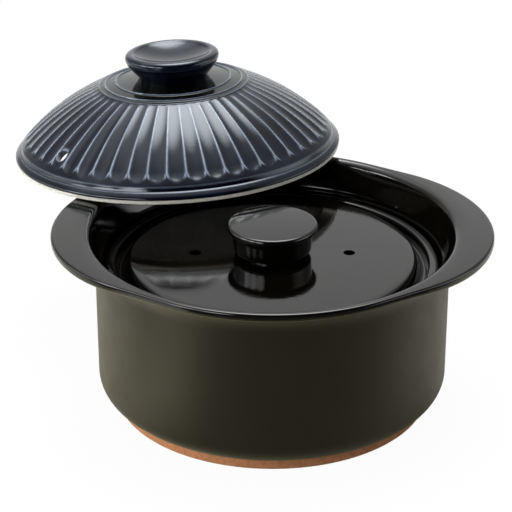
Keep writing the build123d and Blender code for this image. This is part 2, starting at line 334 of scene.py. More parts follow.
class Finish(Nodes):
    """A material's node tree round one main shader."""

    def __init__(self, name: str) -> None:
        """Makes the material with one main shader.

        Args:
            name: Name of the material.
        """
        self.material = bpy.data.materials.new(name)
        self.material.use_nodes = True
        super().__init__(self.material.node_tree)
        self.shader = self.tree.nodes["Principled BSDF"]
        self.place = self.add("ShaderNodeTexCoord").outputs["Object"]

    def noise(self, scale: float, detail: float = 2.0, roughness: float = 0.5) -> bpy.types.NodeSocket:
        """Adds noise on the piece's own coordinates.

        Args:
            scale: Features per metre.
            detail: How many finer layers it has.
            roughness: Share that each finer layer keeps.

        Returns:
            The noise's socket.
        """
        node = self.add("ShaderNodeTexNoise")
        self.join(self.place, node.inputs["Vector"])
        node.inputs["Scale"].default_value = scale
        node.inputs["Detail"].default_value = detail
        node.inputs["Roughness"].default_value = roughness
        return node.outputs["Fac"]

    def blend(self, share: object, first: object, second: object) -> bpy.types.NodeSocket:
        """Mixes two colours.

        Args:
            share: Share of the second colour.
            first: A socket or colour.
            second: A socket or colour.

        Returns:
            The mixed colour's socket.
        """
        node = self.add("ShaderNodeMix", data_type="RGBA")
        self.feed(node.inputs[0], share)
        self.feed(node.inputs[6], first if isinstance(first, bpy.types.NodeSocket) else (*first, 1.0))
        self.feed(node.inputs[7], second if isinstance(second, bpy.types.NodeSocket) else (*second, 1.0))
        return node.outputs[2]

    def attribute(self, name: str) -> bpy.types.NodeSocket:
        """Reads a number that the mesh stores at its points."""
        return self.add("ShaderNodeAttribute", attribute_name=name).outputs["Fac"]

    def bump(self, height: object, strength: float, distance: float) -> None:
        """Raises the surface by a height.

        Args:
            height: Socket of the height, from 0 to 1.
            strength: Share of the effect.
            distance: Rise of a height of 1, in metres.
        """
        node = self.add("ShaderNodeBump")
        node.inputs["Strength"].default_value = strength
        node.inputs["Distance"].default_value = distance
        self.feed(node.inputs["Height"], height)
        self.join(node.outputs[0], self.shader.inputs["Normal"])

    def fix(self, name: str, value: object) -> None:
        """Sets a plain value on one of the main shader's inputs."""
        self.shader.inputs[name].default_value = value

    def set(self, **values: object) -> None:
        """Sets or links the main shader's inputs.

        Args:
            values: Sockets or plain values by the inputs' names, with underscores for spaces.
        """
        for key, value in values.items():
            socket = self.shader.inputs[key.replace("_", " ").title()]
            if isinstance(value, tuple):
                value = (*value, 1.0)
            self.feed(socket, value)


@dataclass(frozen=True)
class BlackGlaze:
    """Glossy iron-black glaze of the rim, the inside and the inner lid."""

    name: str
    colour: Colour = (0.0008, 0.0008, 0.0008)
    warm: Colour = (0.0022, 0.0017, 0.0008)
    roughness: float = 0.055
    peel: float = 0.12

    def material(self) -> bpy.types.Material:
        """Builds the finish.

        Returns:
            The new material.
        """
        nodes = Finish(self.name)
        cloud = nodes.span(nodes.noise(38, 3), 0.35, 0.7)
        nodes.set(
            base_color=nodes.blend(cloud, self.colour, self.warm),
            roughness=nodes.span(nodes.noise(120, 2), 0.3, 0.7, self.roughness * 0.8, self.roughness * 1.25),
        )
        nodes.fix("IOR", GLAZE_IOR)
        ripple = nodes.math("MULTIPLY", nodes.noise(55, 1), 0.8)
        ripple = nodes.math("ADD", ripple, nodes.math("MULTIPLY", nodes.noise(900, 2), 0.2))
        nodes.bump(ripple, self.peel, 0.0006)
        return nodes.material


@dataclass(frozen=True)
class SatinGlaze:
    """Satin olive-black glaze of the pot's outside, which ends above the bare foot."""

    name: str
    colour: Colour = (0.0040, 0.0035, 0.0015)
    light: Colour = (0.0078, 0.0070, 0.0030)
    bloom: Colour = (0.95, 0.88, 0.52)
    clay: Colour = (0.64, 0.275, 0.125)
    clay_dark: Colour = (0.48, 0.190, 0.080)
    glaze_line: float = 6.6
    gloss_line: float = 99.4
    glaze_roughness: Point = (0.40, 0.48)
    clay_roughness: float = 0.85
    gloss_gain: float = -0.30

    def material(self) -> bpy.types.Material:
        """Builds the finish.

        Returns:
            The new material.
        """
        nodes = Finish(self.name)
        wave = nodes.math("MULTIPLY", nodes.math("SUBTRACT", nodes.noise(60, 2), 0.5), 0.0008)
        line = nodes.math("ADD", nodes.split(nodes.place)[2], wave)
        bare = nodes.span(line, (self.glaze_line + 0.15) * MM, (self.glaze_line - 0.15) * MM)
        gloss = nodes.span(line, (self.gloss_line - 1) * MM, (self.gloss_line + 0.6) * MM)
        cloud = nodes.span(nodes.noise(26, 4), 0.3, 0.75)
        glaze = nodes.blend(cloud, self.colour, self.light)
        glaze = nodes.blend(gloss, glaze, BlackGlaze.colour)
        clay = nodes.blend(nodes.span(nodes.noise(420, 4, 0.7), 0.35, 0.7), self.clay, self.clay_dark)
        satin = nodes.span(nodes.noise(90, 3), 0.3, 0.7, *self.glaze_roughness)
        rough = nodes.math("ADD", nodes.math("MULTIPLY", gloss, self.gloss_gain), satin)
        rough = nodes.math("MAXIMUM", rough, nodes.math("MULTIPLY", bare, self.clay_roughness))
        nodes.set(base_color=nodes.blend(bare, glaze, clay), roughness=rough)
        nodes.fix("IOR", 1.45)
        nodes.fix("Specular Tint", (1.0, 0.92, 0.64, 1.0))
        nodes.fix("Sheen Weight", 0.30)
        nodes.fix("Sheen Roughness", 0.55)
        nodes.fix("Sheen Tint", (*self.bloom, 1.0))
        skin = nodes.math("MULTIPLY", nodes.noise(700, 3, 0.6), 0.4)
        skin = nodes.math("ADD", skin, nodes.math("MULTIPLY", nodes.noise(60, 2), 0.6))
        nodes.bump(skin, 0.10, 0.0008)
        return nodes.material


@dataclass(frozen=True)
class BareClay:
    """Bare fired clay, such as the pot's base."""

    name: str
    colour: Colour = (0.42, 0.235, 0.14)
    dark: Colour = (0.30, 0.155, 0.085)
    grain: float = 420

    def material(self) -> bpy.types.Material:
        """Builds the finish.

        Returns:
            The new material.
        """
        nodes = Finish(self.name)
        speck = nodes.span(nodes.noise(self.grain, 4, 0.7), 0.35, 0.7)
        nodes.set(
            base_color=nodes.blend(speck, self.colour, self.dark),
            roughness=nodes.span(nodes.noise(200, 2), 0.3, 0.7, 0.78, 0.92),
        )
        nodes.bump(nodes.noise(900, 4, 0.65), 0.35, 0.0004)
        return nodes.material


@dataclass(frozen=True)
class BlueGlaze:
    """Deep blue glaze that breaks pale over ridges and edges, where the pale mark on some edges is also a
    painted highlight.
    """

    name: str
    blue: Colour = (0.0016, 0.0028, 0.0110)
    dark: Colour = (0.0008, 0.0014, 0.0042)
    gleam: Colour = (0.84, 0.93, 1.0)
    olive: Colour = (0.0016, 0.0017, 0.0014)
    pale: Colour = (0.30, 0.36, 0.47)
    roughness: float = 0.085

    def material(self) -> bpy.types.Material:
        """Builds the finish.

        Returns:
            The new material.
        """
        nodes = Finish(self.name)
        cloud = nodes.span(nodes.noise(45, 3), 0.3, 0.75)
        ground = nodes.blend(cloud, self.blue, self.dark)
        ground = nodes.blend(nodes.attribute("crown"), ground, self.olive)
        # Pale glaze over ridges and rings, with painted highlights on some edges.
        pale_glaze_and_highlight = nodes.span(nodes.noise(240, 3, 0.6), 0.25, 0.75, 0.72, 1.1)
        pale_glaze_and_highlight = nodes.math("MULTIPLY", nodes.attribute("pale_glaze_and_highlight"), pale_glaze_and_highlight, clamp=True)
        nodes.set(
            base_color=nodes.blend(pale_glaze_and_highlight, ground, self.pale),
            roughness=nodes.span(nodes.noise(110, 2), 0.3, 0.7, self.roughness * 0.85, self.roughness * 1.2),
        )
        nodes.fix("IOR", GLAZE_IOR)
        nodes.fix("Specular Tint", (*self.gleam, 1.0))
        ripple = nodes.math("MULTIPLY", nodes.noise(70, 1), 0.7)
        ripple = nodes.math("ADD", ripple, nodes.math("MULTIPLY", nodes.noise(800, 2), 0.3))
        nodes.bump(ripple, 0.10, 0.0006)
        return nodes.material


@dataclass
class Pot:
    """Pot of one piece of clay: foot, body, rim with two ears, sloping throat and inside."""

    height: float = 102.9
    body_radius: float = 98.7
    shoulder: Point = (99.0, 91.0)
    flare_radius: float = 103.2
    rim_radius: float = 106.96
    rim_thickness: float = 4.9
    rim_edge: float = 1.5
    rim_foot: float = 2.35
    ear_end_radius: float = 88.0
    ear_reach: float = 123.18
    ear_fold: float = 110.5
    ear_fall: float = 0.9
    ear_depth: float = 1.1
    mouth_radius: float = 102.0
    mouth_edge: float = 4.5
    throat_foot: Point = (94.8, 86.3)
    ledge: Point = (93.9, 77.0)
    inner_radius: float = 89.5
    floor: float = 11.5
    inner_corner: float = 16.0
    foot: Point = (88.8, 6.4)
    corner_radius: float = 12.0
    facets: int = 288

    def rim_line(self, turn: float) -> Point:
        """Finds the rim's edge in one direction.

        Args:
            turn: Direction in radians from +X.

        Returns:
            Distance of the edge from the axis, and the cosine of its slant there.
        """
        aside = math.atan2(abs(math.sin(turn)), abs(math.cos(turn)))
        offset = self.ear_reach - self.ear_end_radius
        lean = math.acos((self.rim_radius - self.ear_end_radius) / offset)
        end = self.ear_end_radius
        ear_stop = math.atan2(end * math.sin(lean), offset + end * math.cos(lean))
        if aside > lean:
            return self.rim_radius, 1.0
        if aside > ear_stop:
            return self.rim_radius / math.cos(lean - aside), math.cos(lean - aside)
        reach = offset * math.cos(aside) + math.sqrt(end ** 2 - (offset * math.sin(aside)) ** 2)
        normal = math.atan2(reach * math.sin(aside), reach * math.cos(aside) - offset)
        return reach, math.cos(normal - aside)

    def draw_out(self, mesh: bmesh.types.BMesh) -> None:
        """Draws the round rim out into the two ears and lets their tops fall a little.

        Args:
            mesh: The turned pot, which is changed.
        """
        underside = self.height - self.rim_thickness
        mouth_end = self.rim_radius - self.rim_edge - 0.6
        slope = self.ear_fall / (self.ear_reach - self.ear_fold)
        for vert in mesh.verts:
            across = math.hypot(vert.co.x, vert.co.y) / MM
            height = vert.co.z / MM
            top = height > underside + self.rim_thickness / 2
            start = mouth_end if top else self.flare_radius
            if height < underside - 0.01 or across <= start:
                continue
            turn = math.atan2(vert.co.y, vert.co.x)
            reach, slant = self.rim_line(turn)
            band = self.rim_radius - (self.rim_edge if top else self.rim_foot)
            if across >= band:
                drawn = reach - (self.rim_radius - across) / slant
            else:
                share = (across - start) / (band - start)
                drawn = start + share * (reach - (self.rim_radius - band) / slant - start)
            past = drawn - self.ear_fold
            gain = reach - self.rim_radius
            if top:
                fall = slope * (math.sqrt(past ** 2 + 2.0) + past) / 2 if gain > 0.01 else 0.0
                fall *= smooth_step(0, 2.5, gain)
            else:
                fall = self.ear_depth * smooth_step(0, 12, gain) * smooth_step(start, band, across)
            vert.co.x = drawn * MM * math.cos(turn)
            vert.co.y = drawn * MM * math.sin(turn)
            vert.co.z -= fall * MM

    def throw(self) -> bmesh.types.BMesh:
        """Turns the pot's section.

        Returns:
            The closed mesh, with its ears.
        """
        underside = self.height - self.rim_thickness
        centre_radius = self.body_radius - self.corner_radius
        drop = math.sqrt(self.corner_radius ** 2 - (self.foot[0] - centre_radius) ** 2)
        centre_height = self.foot[1] + drop
        inner_foot = (self.inner_radius, self.floor)
        wheel = Lathe(0, 0)
        wheel.corner((self.foot[0], 0), self.foot, 0.8, 3, run=6)
        wheel.line(self.foot[0], self.foot[1], 2)
        wheel.arc_to((centre_radius, centre_height), (self.body_radius, centre_height), 14)
        wheel.corner(self.shoulder, (self.flare_radius, underside), 14.0, 6, run=14)
        wheel.corner((self.flare_radius, underside), (self.rim_radius, underside), 1.6, 4)
        wheel.corner((self.rim_radius, underside), (self.rim_radius, self.height), self.rim_foot, 7, run=10)
        mouth = (self.mouth_radius, self.height)
        wheel.corner((self.rim_radius, self.height), mouth, self.rim_edge, 6, run=2)
        wheel.corner(mouth, self.throat_foot, self.mouth_edge, 9, run=16)
        wheel.corner(self.throat_foot, self.ledge, 3.0, 4, run=6)
        wheel.corner(self.ledge, (self.inner_radius, self.ledge[1]), 1.0, 4, run=2)
        wheel.corner((self.inner_radius, self.ledge[1]), inner_foot, 0.9, 4)
        wheel.corner(inner_foot, (0, self.floor), self.inner_corner, 8, run=6)
        wheel.line(0, self.floor, 5)
        mesh = wheel.turn(self.facets)
        self.draw_out(mesh)
        bmesh.ops.recalc_face_normals(mesh, faces=mesh.faces[:])
        return mesh

    def region(self, face: bmesh.types.BMFace) -> Region:
        """Tells which finish a face takes.

        Args:
            face: A face of the turned pot.

        Returns:
            The finish's region.
        """
        middle = face.calc_center_median() / MM
        across = math.hypot(middle.x, middle.y)
        if middle.z < 0.05 or (middle.z < 1.0 and across < self.foot[0] - 0.3):
            return Region.CLAY
        if middle.z > self.height - self.rim_thickness / 2:
            return Region.GLOSS
        outward = face.normal.x * middle.x + face.normal.y * middle.y > 0
        if middle.z > self.floor - 0.1 and not outward and across < self.mouth_radius:
            return Region.SATIN if face.normal.z < -0.5 else Region.GLOSS
        if across < self.inner_radius - self.inner_corner and middle.z > self.floor - 0.5:
            return Region.GLOSS
        return Region.SATIN

    def build(self) -> None:
        """Makes the pot in place of its solid and dresses it."""
        mesh = self.throw()
        for face in mesh.faces:
            face.material_index = self.region(face).value
        finishes = [
            BlackGlaze("rim_black_glaze").material(),
            SatinGlaze("body_satin_glaze").material(),
            BareClay("base_clay").material(),
        ]
        piece = make_piece("glazed_pot", mesh, finishes)
        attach(piece, "pot")
        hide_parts("pot")
        log.info("pot: %d faces", len(piece.data.polygons))


@dataclass
class InnerLid:
    """Black inner lid: nearly flat plate with a round shoulder, gutter, upturned lip and two steam holes."""

    radius: float = 93.2
    seat: float = 77.3
    bearing_radius: float = 89.2
    plate_edge: Point = (82.2, 79.4)
    gutter: Point = (85.2, 77.9)
    crest: Point = (91.0, 83.6)
    shoulder: float = 81.6
    plate_rise: float = 87.4
    plate_shoulder: Point = (78.6, 86.55)
    thickness: float = 6.0
    hole_radius: float = 2.2
    hole_spacing: float = 43.0
    facets: int = 288

    def build(self) -> None:
        """Makes the lid in place of its solid and dresses it."""
        rise = self.plate_rise - self.plate_shoulder[1]
        crown = (self.plate_shoulder[0] ** 2 + rise ** 2) / (2 * rise)
        centre = (0.0, self.plate_rise - crown)
        wheel = Lathe(0, self.plate_rise)
        wheel.arc_to(centre, self.plate_shoulder, 24)
        wheel.curve((80.8, 86.5), (81.2, 81.6), self.plate_edge, 9)
        wheel.curve((83.1, 78.3), (84.0, self.gutter[1]), self.gutter, 5)
        wheel.curve((86.8, self.gutter[1]), (86.6, self.crest[1]), (88.7, self.crest[1] - 0.1), 10)
        wheel.line(self.crest[0], self.crest[1], 2)
        wheel.curve((91.9, self.crest[1]), (self.radius, 82.6), (self.radius, self.shoulder), 7)
        wheel.corner((self.radius, self.seat), (self.bearing_radius, self.seat), 0.8, 3)
        gutter_foot = (self.gutter[0], self.gutter[1] - self.thickness)
        wheel.corner((self.bearing_radius, self.seat), gutter_foot, 1.2, 3)
        under = (self.gutter[0] - self.thickness / 2, self.plate_edge[1] - self.thickness)
        wheel.corner(gutter_foot, under, 1.5, 4, run=2)
        wheel.line(under[0], under[1])
        wheel.line(self.plate_shoulder[0] - self.thickness / 2, self.plate_shoulder[1] - self.thickness, 3)
        hollow_start, hollow_top = wheel.place, self.plate_rise - self.thickness
        sag = hollow_top - hollow_start.y
        hollow = (hollow_start.x ** 2 + sag ** 2) / (2 * sag)
        wheel.arc_to((0.0, hollow_top - hollow), (0.0, hollow_top), 14)
        mesh = wheel.turn(self.facets)
        glaze = BlackGlaze("inner_lid_black_glaze", peel=0.16).material()
        piece = make_piece("glazed_inner_lid", mesh, [glaze])
        holes = [Matrix.Translation((side * self.hole_spacing * MM, 0, 83 * MM)) for side in (-1, 1)]
        bore(piece, holes, self.hole_radius + 0.8, 16, taper=-0.6)
        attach(piece, "inner_lid")
        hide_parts("inner_lid")
        log.info("inner lid: %d faces", len(piece.data.polygons))


@dataclass
class InnerKnob:
    """Two-step button knob of the inner lid."""

    seat: float = 87.364
    cap_radius: float = 25.3
    cap_height: float = 18.9
    cap_edge_height: float = 4.6
    cap_edge_radius: float = 1.9
    cap_crown: float = 0.6
    waist_radius: float = 22.6
    drum_radius: float = 21.8
    drum_edge_radius: float = 2.4
    undercut: float = 2.1
    neck_radius: float = 16.5
    facets: int = 192

    def build(self) -> None:
        """Makes the knob in place of its solid and dresses it."""
        base = self.seat
        top = base + self.cap_height
        shoulder = top - self.cap_crown
        brim = top - self.cap_edge_height
        crown = (self.cap_radius ** 2 + self.cap_crown ** 2) / (2 * self.cap_crown)
        wheel = Lathe(0, base)
        wheel.line(self.neck_radius, base, 3)
        drum_foot = (self.drum_radius, base + self.undercut)
        wheel.corner((self.neck_radius, base + self.undercut), drum_foot, 0.9, 4)
        wheel.corner(drum_foot, (self.waist_radius, brim), self.drum_edge_radius, 8)
        wheel.corner((self.waist_radius, brim), (self.cap_radius, brim), 0.7, 4, run=4)
        wheel.corner((self.cap_radius, brim), (self.cap_radius, shoulder), self.cap_edge_radius, 7)
        wheel.corner((self.cap_radius, shoulder), (0, shoulder + self.cap_crown), self.cap_edge_radius, 8)
        wheel.arc_to((0.0, top - crown), (0.0, top), 14)
        glaze = BlackGlaze("button_black_glaze").material()
        piece = make_piece("inner_lid_button", wheel.turn(self.facets), [glaze])
        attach(piece, "inner_lid")
        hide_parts("inner_lid_knob")
        log.info("inner knob: %d faces", len(piece.data.polygons))


@dataclass
class LidPlace:
    """Where the outer lid lies: taken off, tilted, on the back of the rim."""

    origin: tuple[float, float, float] = (-56.3, 118.6, 99.97)
    lean_right: float = -2.8
    lean_back: float = 4.12

    def matrix(self) -> Matrix:
        """Turns the lid's own frame into the model's.

        Returns:
            The lid's place and tilt, in metres.
        """
        up = Vector((math.sin(math.radians(self.lean_right)), math.sin(math.radians(self.lean_back)), 0))
        up.z = math.sqrt(1 - up.length_squared)
        side = Vector((up.z, 0, -up.x)).normalized()
        back = up.cross(side)
        turn = Matrix((side, back, up)).transposed().to_4x4()
        return Matrix.Translation(Vector(self.origin) * MM) @ turn


@dataclass
class OuterLid:
    """Blue outer lid: fluted dome with ringed crown, a step, a bead, a bare lip and one steam hole."""

    place: LidPlace = field(default_factory=LidPlace)
    lip_radius: float = 97.2
    lip_inner_radius: float = 89.6
    lip_height: float = 2.3
    bead: Point = (97.68, 3.1)
    bead_top: Point = (95.2, 6.0)
    step: Point = (94.2, 6.5)
    dome_foot: Point = (93.5, 8.8)
    crown_edge: Point = (44.4, 42.3)
    crown_top: float = 47.5
    dome_swell: float = 3.3
    thickness: float = 6.4
    skirt_lean: float = 3.5
    knob_radius: float = 20.2
    rings: tuple[Point, ...] = ((34.3, 0.80), (40.9, 0.80), (44.4, 0.30))
    ring_width: float = 0.75
    flutes: int = 49
    first_ridge: float = 268.5
    bar_radius: float = 20.0
    flute_top: Point = (47.6, 0.23)
    flute_foot: Point = (86.5, 0.77)
    hole_radius: float = 3.5
    hole_distance: float = 84.3
    hole_turn: float = 220.0
    facets_per_flute: int = 14

    def __post_init__(self) -> None:
        """Finds the centres and radii of the dome's and the crown's meridians."""
        foot, edge = Vector(self.dome_foot), Vector(self.crown_edge)
        chord = edge - foot
        inward = Vector((-chord.y, chord.x)).normalized()
        self.dome_radius = (chord.length ** 2 / 4 + self.dome_swell ** 2) / (2 * self.dome_swell)
        self.dome_centre = (foot + edge) / 2 + inward * (self.dome_radius - self.dome_swell)
        rise = self.crown_top - edge.y
        self.crown_radius = (edge.x ** 2 + rise ** 2) / (2 * rise)
        self.crown_centre = Vector((0, self.crown_top - self.crown_radius))

    def shell(self, across: float) -> tuple[Vector, float]:
        """Finds the arc of the outside's meridian.

        Args:
            across: Distance from the axis.

        Returns:
            The arc's centre and radius.
        """
        if across < self.crown_edge[0]:
            return self.crown_centre, self.crown_radius
        return self.dome_centre, self.dome_radius

    def dome_spot(self, across: float) -> Point:
        """Point of the outside's meridian at a distance from the axis."""
        centre, radius = self.shell(across)
        return across, centre.y + math.sqrt(max(0.0, radius ** 2 - (across - centre.x) ** 2))

    def outside(self, across: float, height: float) -> bool:
        """Tells whether a point of the meridian lies on the outside."""
        return across > self.dome_foot[0] or height > self.dome_spot(across)[1] - 3

    def throw(self) -> bmesh.types.BMesh:
        """Turns the lid's section.

        Returns:
            The closed mesh, without flutes, in the lid's own frame.
        """
        crown, dome = tuple(self.crown_centre), tuple(self.dome_centre)
        skirt = self.lip_inner_radius - self.skirt_lean
        pad = self.dome_spot(self.knob_radius)[1]
        wheel = Lathe(0, pad)
        wheel.line(self.knob_radius, pad, 2)
        for ring, _ in self.rings[:2]:
            wheel.arc_to(crown, self.dome_spot(ring - self.ring_width - 0.3), 4)
            wheel.arc_to(crown, self.dome_spot(ring + self.ring_width + 0.3), 9)
        wheel.arc_to(crown, self.dome_spot(43.2), 1)
        wheel.arc_to(crown, self.crown_edge, 5)
        wheel.arc_to(dome, self.dome_spot(45.6), 5)
        wheel.arc_to(dome, self.dome_spot(51.0), 9)
        wheel.arc_to(dome, self.dome_spot(82.0), 14)
        wheel.arc_to(dome, self.dome_spot(92.9), 17)
        wheel.corner(self.dome_foot, self.step, 0.6, 4)
        wheel.line(93.76, 7.9)
        wheel.corner(self.step, self.bead_top, 0.3, 2)
        wheel.corner(self.bead_top, (self.bead_top[0] + 0.8, 5.2), 0.35, 3)
        wheel.curve((96.9, 4.5), (self.bead[0], 3.9), self.bead, 8)
        wheel.curve((self.bead[0], 2.6), (97.5, self.lip_height), (97.3, self.lip_height), 4)
        wheel.line(self.lip_radius, self.lip_height - 0.15)
        wheel.corner((self.lip_radius, 0), (self.lip_inner_radius, 0), 0.6, 4)
        hollow = self.dome_radius - self.thickness
        skirt_top = (skirt, dome[1] + math.sqrt(hollow ** 2 - (skirt - dome[0]) ** 2))
        crown_foot = dome[1] + math.sqrt(hollow ** 2 - (self.crown_edge[0] - dome[0]) ** 2)
        wheel.corner((self.lip_inner_radius, 0), skirt_top, 0.8, 3)
        wheel.line(skirt_top[0], skirt_top[1], 2)
        wheel.arc_to(dome, (self.crown_edge[0], crown_foot), 8)
        roof = self.crown_top - self.thickness
        vault = (self.crown_edge[0] ** 2 + (roof - crown_foot) ** 2) / (2 * (roof - crown_foot))
        wheel.arc_to((0.0, roof - vault), (0.0, roof), 6)
        mesh = wheel.turn(self.flutes * self.facets_per_flute)
        mesh.transform(Matrix.Rotation(math.radians(self.first_ridge), 4, "Z"))
        return mesh

    def flute_depth(self, across: float, turn: float) -> tuple[float, float]:
        """Finds how deep the nearest flute is at a point of the dome.

        Args:
            across: Distance from the axis.
            turn: Direction in degrees.

        Returns:
            Depth, negative beyond the flute's edge, and the signed distance from the flute's line.
        """
        pitch = 360 / self.flutes
        aside = (turn - self.first_ridge) / pitch % 1 - 0.5
        aside = aside * math.radians(pitch) * across
        along = min(max(across, self.flute_top[0]), self.flute_foot[0])
        share = (along - self.flute_top[0]) / (self.flute_foot[0] - self.flute_top[0])
        deepest = self.flute_top[1] + share * (self.flute_foot[1] - self.flute_top[1])
        slant = (across - self.dome_centre.x) / self.dome_radius
        past = (across - along) / math.sqrt(1 - min(0.9, abs(slant)) ** 2)
        past *= 0.78 if past > 0 else 1.0
        square = self.bar_radius ** 2 - aside ** 2 - past ** 2
        return math.sqrt(max(square, 0.0)) - (self.bar_radius - deepest), aside

    def carve(self, mesh: bmesh.types.BMesh) -> None:
        """Presses the flutes and raises the rings on the turned dome.

        Args:
            mesh: The turned lid, which is changed.
        """
        for vert in mesh.verts:
            across, height = math.hypot(vert.co.x, vert.co.y) / MM, vert.co.z / MM
            if not self.knob_radius < across < self.dome_foot[0] - 0.4:
                continue
            if abs(height - self.dome_spot(across)[1]) > 0.2:
                continue
            turn = math.atan2(vert.co.y, vert.co.x)
            spread = self.ring_width * 0.62
            rise = sum(high * math.exp(-((across - ring) / spread) ** 2) for ring, high in self.rings)
            fluted = across > self.crown_edge[0]
            depth = self.flute_depth(across, math.degrees(turn))[0] if fluted else 0.0
            centre, _ = self.shell(across)
            out = (Vector((across, height)) - centre).normalized() * (rise - max(0.0, depth)) * MM
            vert.co += Vector((out.x * math.cos(turn), out.x * math.sin(turn), out.y))

    def note_pale_glaze_and_highlights(self, piece: bpy.types.Object) -> None:
        """Stores where the glaze breaks pale, with painted highlights on the step's and the bead's top edges,
        and where the crown's darker glaze lies.

        Args:
            piece: The carved and bored lid, in its own frame.
        """
        data = piece.data
        pale_glaze_and_highlight = data.attributes.new("pale_glaze_and_highlight", "FLOAT", "POINT")
        crown = data.attributes.new("crown", "FLOAT", "POINT")
        hole = self.hole_frame()
        hole_mouth, hole_way = hole.translation, hole.to_3x3() @ Vector((0, 0, 1))
        for index, vert in enumerate(data.vertices):
            spot = vert.co
            across = math.hypot(spot.x, spot.y) / MM
            height = spot.z / MM
            outside = self.outside(across, height)
            crown.data[index].value = 1 - smooth_step(43.4, 44.6, across)
            value = 0.0
            if outside and height > self.dome_foot[1] - 0.3 and across > self.knob_radius:
                depth, aside = self.flute_depth(across, math.degrees(math.atan2(spot.y, spot.x)))
                pitch = FULL_TURN / self.flutes * across
                low = smooth_step(self.flute_top[0], self.flute_foot[0], across)
                reach = 1 - smooth_step(self.flute_foot[0] + 2.0, self.flute_foot[0] + 4.5, across)
                reach *= smooth_step(self.flute_top[0] - 2.2, self.flute_top[0] + 1.5, across)
                near = 1 - smooth_step(0.02, 0.12 + 0.12 * low, abs(depth))
                on_ridge = smooth_step(0.28, 0.42, abs(aside) / pitch)
                value = near * on_ridge * reach * (0.75 + 0.25 * low)
                for ring, high in self.rings:
                    value += 0.8 * high * (1 - smooth_step(0.1, 0.7, abs(across - ring)))
            # Painted highlight, partly: the step's and the bead's top edges are painted pale as glaze
            # breaking over them and as light caught on them.
            for edge, strength in ((self.dome_foot, 0.16), (self.bead_top, 0.20)):
                away = math.hypot(across - edge[0], height - edge[1])
                value += strength * (1 - smooth_step(0.15, 0.75, away))
            gap = spot - hole_mouth
            rim = (gap - hole_way * gap.dot(hole_way)).length / MM - self.hole_radius
            if outside and abs(rim) < 1.2:
                value = max(value, 0.8 * (1 - smooth_step(0.1, 0.9, abs(rim))))
            pale_glaze_and_highlight.data[index].value = min(1.0, value)

    def hole_frame(self) -> Matrix:
        """Finds the steam hole in the lid's own frame.

        Returns:
            The hole's middle and direction (local Z), in metres.
        """
        turn = math.radians(self.hole_turn)
        height = self.dome_spot(self.hole_distance)[1]
        out = (Vector((self.hole_distance, height)) - self.dome_centre).normalized()
        way = Vector((out.x * math.cos(turn), out.x * math.sin(turn), out.y))
        spot = Vector((self.hole_distance * math.cos(turn), self.hole_distance * math.sin(turn), height)) * MM
        return Matrix.Translation(spot) @ way.to_track_quat("Z", "Y").to_matrix().to_4x4()

    def build(self) -> None:
        """Makes the lid in place of its solid and dresses it."""
        mesh = self.throw()
        self.carve(mesh)
        for face in mesh.faces:
            middle = face.calc_center_median() / MM
            across = math.hypot(middle.x, middle.y)
            hollow = not self.outside(across, middle.z)
            if middle.z < self.lip_height - 0.05 and across > self.lip_inner_radius - 0.6:
                face.material_index = 1
            elif hollow and across < self.lip_inner_radius:
                face.material_index = 2
        inside = BlackGlaze(
            "lid_inside_glaze", colour=(0.010, 0.007, 0.0025), warm=(0.022, 0.015, 0.005), roughness=0.3
        )
        finishes = [
            BlueGlaze("lid_blue_glaze").material(),
            BareClay("lip_clay", colour=(0.86, 0.84, 0.76), dark=(0.76, 0.74, 0.66), grain=700).material(),
            inside.material(),
        ]
        piece = make_piece("fluted_lid", mesh, finishes)
        inward = Matrix.Translation((0, 0, -4.5 * MM))
        bore(piece, [self.hole_frame() @ inward], self.hole_radius + 2.1, 15, taper=3.5)
        self.note_pale_glaze_and_highlights(piece)
        piece.data.transform(self.place.matrix())
        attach(piece, "outer_lid")
        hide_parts("outer_lid")
        log.info("outer lid: %d faces", len(piece.data.polygons))


@dataclass
class OuterKnob:
    """Flared, dished knob on the outer lid's crown."""

    lid: OuterLid
    base_radius: float = 20.2
    lip: Point = (27.98, 12.2)
    crest: Point = (24.2, 14.97)
    dish_edge: Point = (21.8, 13.85)
    dish_floor: float = 9.3
    facets: int = 192

    def build(self) -> None:
        """Makes the knob in place of its solid and dresses it."""
        base = self.lid.dome_spot(self.base_radius)[1]
        sag = self.dish_edge[1] - self.dish_floor
        dish = (self.dish_edge[0] ** 2 + sag ** 2) / (2 * sag)
        wheel = Lathe(0, 0)
        wheel.line(self.base_radius, 0, 3)
        wheel.curve((21.8, 3.2), (self.lip[0], 8.0), self.lip, 12)
        wheel.curve((self.lip[0], 13.9), (26.2, self.crest[1]), self.crest, 8)
        wheel.curve((23.3, self.crest[1]), (22.6, 14.4), self.dish_edge, 4)
        wheel.arc_to((0.0, self.dish_floor + dish), (0.0, self.dish_floor), 14)
        glaze = BlueGlaze("knob_blue_glaze", blue=(0.0020, 0.0032, 0.0125)).material()
        piece = make_piece("fluted_lid_knob", wheel.turn(self.facets), [glaze])
        pale_glaze_and_highlight = piece.data.attributes.new("pale_glaze_and_highlight", "FLOAT", "POINT")
        piece.data.attributes.new("crown", "FLOAT", "POINT")
        # Painted highlight, partly: the lip's crest is painted a little pale as glaze breaking over it and as
        # light caught on it.
        for index, vert in enumerate(piece.data.vertices):
            across = math.hypot(vert.co.x, vert.co.y) / MM
            away = math.hypot(across - self.crest[0], vert.co.z / MM - self.crest[1])
            pale_glaze_and_highlight.data[index].value = 0.10 * (1 - smooth_step(0.4, 1.8, away))
        piece.data.transform(self.lid.place.matrix() @ Matrix.Translation((0, 0, base * MM)))
        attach(piece, "outer_lid")
        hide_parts("outer_lid_knob")
        log.info("outer knob: %d faces", len(piece.data.polygons))


